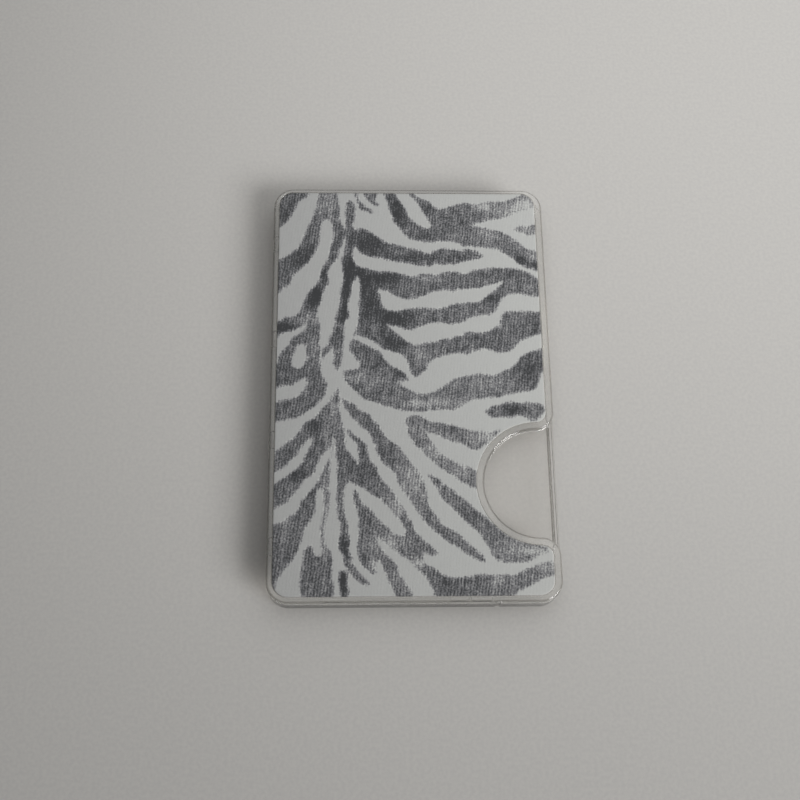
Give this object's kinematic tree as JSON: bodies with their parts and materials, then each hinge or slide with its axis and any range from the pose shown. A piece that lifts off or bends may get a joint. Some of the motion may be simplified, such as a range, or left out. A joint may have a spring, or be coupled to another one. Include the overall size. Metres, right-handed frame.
{
  "type": "magnetic phone card holder",
  "caption": "Slim clear two-shell card holder that clings to the back of a phone by a ring of magnets, with an open end, a thumb notch in one side and a striped printed face.",
  "frame": {"origin": "centre of the overall box, on the back face that lies on the phone or table", "axes": "+X towards the side with the thumb notch, +Y towards the open end where cards go in, +Z out of the printed face"},
  "size_m": [0.0568, 0.0882, 0.0053],
  "materials": {
    "clear_plastic": "clear, polished",
    "printed_card": "matt card printed with grey and white animal stripes and a woven look",
    "adhesive_film": "thin translucent film",
    "magnet_nickel": "satin nickel plate",
    "shield_steel": "rolled sheet",
    "white_film": "satin white"
  },
  "bodies": {
    "root": {"back_tray": "clear_plastic", "front_cover": "clear_plastic", "printed_sheet": "printed_card", "sheet_film": "adhesive_film", "shield_ring": "shield_steel", "ring_cover": "white_film", "bar_shield": "shield_steel", "bar_magnet": "magnet_nickel", "bar_cover": "white_film", "ring_magnet_01": "magnet_nickel", "ring_magnet_02": "magnet_nickel", "ring_magnet_03": "magnet_nickel", "ring_magnet_04": "magnet_nickel", "ring_magnet_05": "magnet_nickel", "ring_magnet_06": "magnet_nickel", "ring_magnet_07": "magnet_nickel", "ring_magnet_08": "magnet_nickel", "ring_magnet_09": "magnet_nickel", "ring_magnet_10": "magnet_nickel", "ring_magnet_11": "magnet_nickel", "ring_magnet_12": "magnet_nickel", "ring_magnet_13": "magnet_nickel", "ring_magnet_14": "magnet_nickel", "ring_magnet_15": "magnet_nickel", "ring_magnet_16": "magnet_nickel"}
  },
  "joints": []
}
